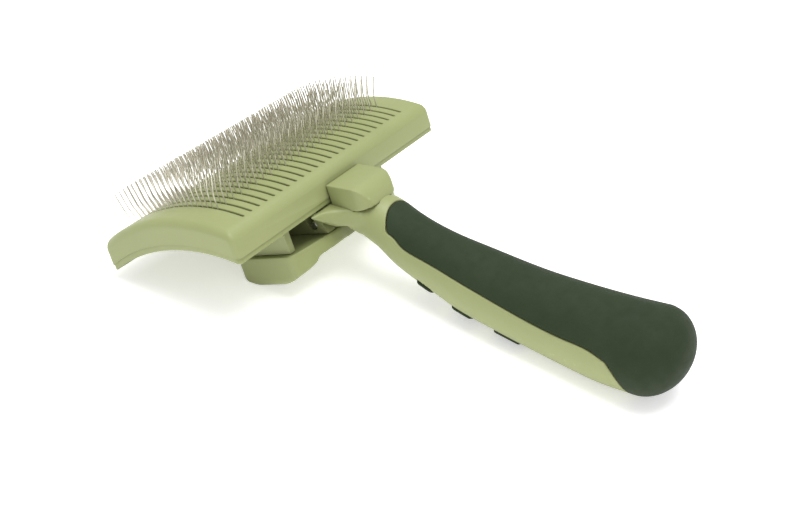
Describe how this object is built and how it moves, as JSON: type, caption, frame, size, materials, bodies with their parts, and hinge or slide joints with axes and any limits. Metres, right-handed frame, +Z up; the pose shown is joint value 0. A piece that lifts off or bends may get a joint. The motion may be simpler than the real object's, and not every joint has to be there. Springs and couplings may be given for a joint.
{
  "type": "self-cleaning slicker brush",
  "caption": "Grooming brush with a wide arched head, bent wire pins that retract through slots when the bar under the head is pulled, and a soft-grip handle.",
  "frame": {"origin": "on the table that the brush rests on pins up, under the middle of its bounding box", "axes": "+X from the head to the butt of the handle, +Y along the long side of the head, +Z up, the way the pins point"},
  "size_m": [0.1864, 0.113, 0.0464],
  "materials": {
    "plastic": "satin moulded, sage green",
    "rubber": "matt soft touch, dark green",
    "pin_wire": "bright drawn stainless wire",
    "steel": "zinc plated"
  },
  "bodies": {
    "brush_body": {"face_shell": "plastic", "neck_block": "plastic", "handle_body": "plastic", "rubber_grip": "rubber", "thumb_bar_1": "rubber", "thumb_bar_2": "rubber", "thumb_bar_3": "rubber", "neck_screw_left": "steel", "neck_screw_right": "steel", "guide_rod_front": "steel", "guide_rod_rear": "steel", "return_spring": "steel"},
    "pin_carriage": {"pin_carrier": "plastic", "pin_row_01": "pin_wire", "pin_row_02": "pin_wire", "pin_row_03": "pin_wire", "pin_row_04": "pin_wire", "pin_row_05": "pin_wire", "pin_row_06": "pin_wire", "pin_row_07": "pin_wire", "pin_row_08": "pin_wire", "pin_row_09": "pin_wire", "pin_row_10": "pin_wire", "pin_row_11": "pin_wire", "pin_row_12": "pin_wire", "pin_row_13": "pin_wire", "pin_row_14": "pin_wire", "pin_row_15": "pin_wire", "pin_row_16": "pin_wire", "pin_row_17": "pin_wire", "pin_row_18": "pin_wire", "pin_row_19": "pin_wire", "pin_row_20": "pin_wire", "pin_row_21": "pin_wire", "pin_row_22": "pin_wire", "pin_row_23": "pin_wire", "pin_row_24": "pin_wire", "pull_bar": "plastic", "bar_screw_1": "steel", "bar_screw_2": "steel", "bar_screw_3": "steel", "bar_screw_4": "steel"}
  },
  "joints": [
    {"name": "pin_retract", "type": "slide", "parent": "brush_body", "child": "pin_carriage", "axis": [0.7035, 0, -0.7107], "range_m": [0, 0.01423], "stiffness_N_per_m": 450, "springref_m": -0.004, "deforming": ["return_spring"]}
  ]
}
